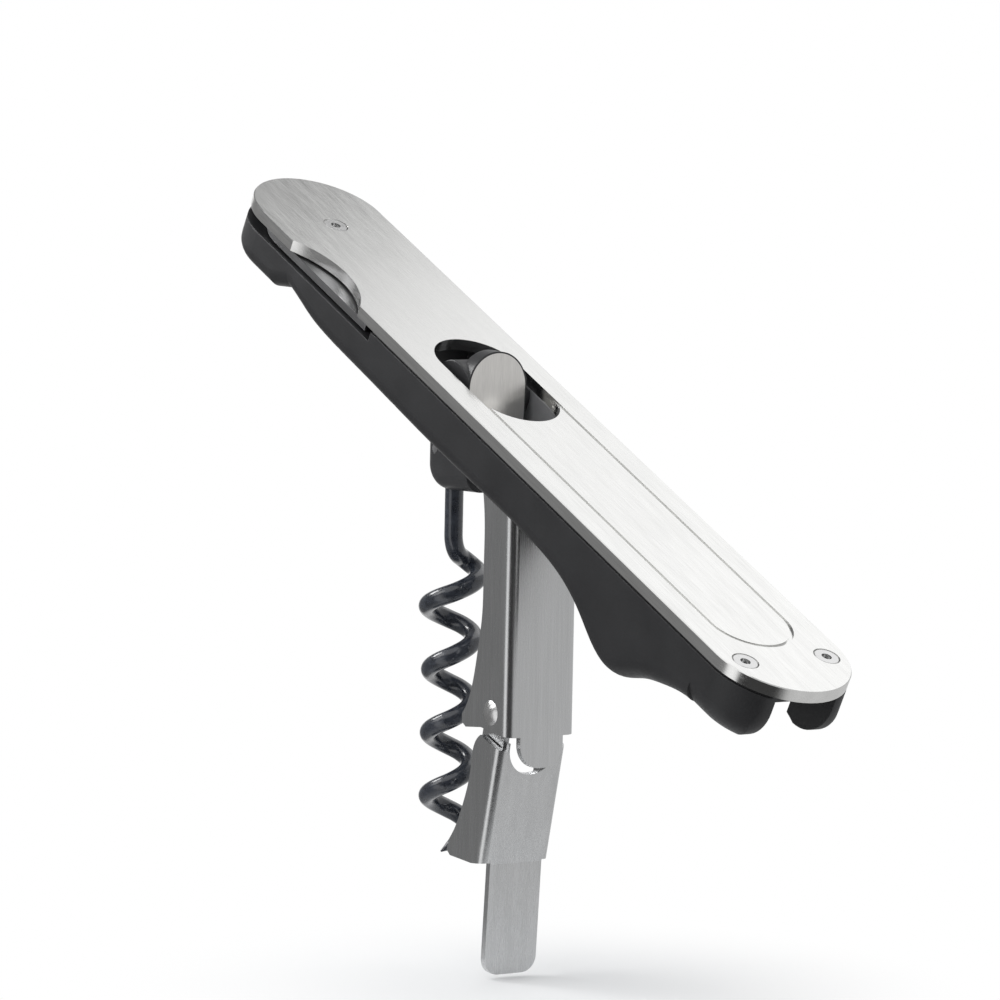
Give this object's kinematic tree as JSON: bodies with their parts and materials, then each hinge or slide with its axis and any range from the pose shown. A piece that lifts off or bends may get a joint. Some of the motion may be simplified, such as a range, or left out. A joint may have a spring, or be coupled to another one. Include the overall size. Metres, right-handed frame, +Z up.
{
  "type": "corkscrew",
  "caption": "Push-pull corkscrew with a tilted steel-topped handle, folding worm with push tab, hinged lever for the bottle lip and a foil blade.",
  "frame": {"origin": "on the worm's axis, level with the worm's tip, where the worm enters the cork", "axes": "+Z up the worm, +X from the worm toward the lever and the handle's low end, +Y along the folding axes toward the far side"},
  "size_m": [0.1246, 0.02, 0.1073],
  "materials": {
    "plate_steel": "brushed lengthwise",
    "body_plastic": "matte charcoal",
    "carrier_plastic": "matte charcoal",
    "cap_steel": "brushed",
    "worm_coat": "glossy dark non-stick coat",
    "lever_steel": "brushed pressed sheet",
    "rivet_steel": "polished",
    "blade_steel": "ground edge",
    "inner_steel": "plain"
  },
  "bodies": {
    "handle": {"handle_body": "body_plastic", "top_plate": "plate_steel", "blade_rivet": "rivet_steel", "plate_rivet_near": "rivet_steel", "plate_rivet_far": "rivet_steel", "blade_washer": "inner_steel", "liner_near": "inner_steel", "liner_far": "inner_steel", "carrier_pin": "inner_steel", "spacer_near": "inner_steel", "spacer_far": "inner_steel", "lever_stud_near": "inner_steel", "lever_stud_far": "inner_steel"},
    "blade": {"foil_blade": "blade_steel"},
    "worm_unit": {"worm_carrier": "carrier_plastic", "tab_cap": "cap_steel", "worm": "worm_coat", "worm_cross_pin": "inner_steel"},
    "upper_stage": {"lever_upper": "lever_steel", "hinge_rivet_near": "rivet_steel", "hinge_rivet_far": "rivet_steel"},
    "lower_stage": {"lever_lower": "lever_steel"}
  },
  "joints": [
    {"name": "lever_fold", "type": "hinge", "parent": "handle", "child": "upper_stage", "pos_m": [0.0174, 0, 0.0575], "axis": [0, -1, 0], "range_deg": [-40, 63.2]},
    {"name": "worm_fold", "type": "hinge", "parent": "handle", "child": "worm_unit", "pos_m": [0.00556, 0, 0.06653], "axis": [0, -1, 0], "range_deg": [-38.2, 60.3]},
    {"name": "lever_stage", "type": "hinge", "parent": "upper_stage", "child": "lower_stage", "pos_m": [0.01736, 0, 0.0238], "axis": [0, -1, 0], "range_deg": [-4.9, 7.7]},
    {"name": "blade_open", "type": "hinge", "parent": "handle", "child": "blade", "pos_m": [-0.03112, 0, 0.08618], "axis": [-0.4509, 0, -0.8926], "range_deg": [0, 100]}
  ],
  "couplings": [
    {"joint": "worm_fold", "follows": "lever_fold", "ratio": 0.95253},
    {"joint": "lever_stage", "follows": "lever_fold", "ratio": 0.1209}
  ]
}
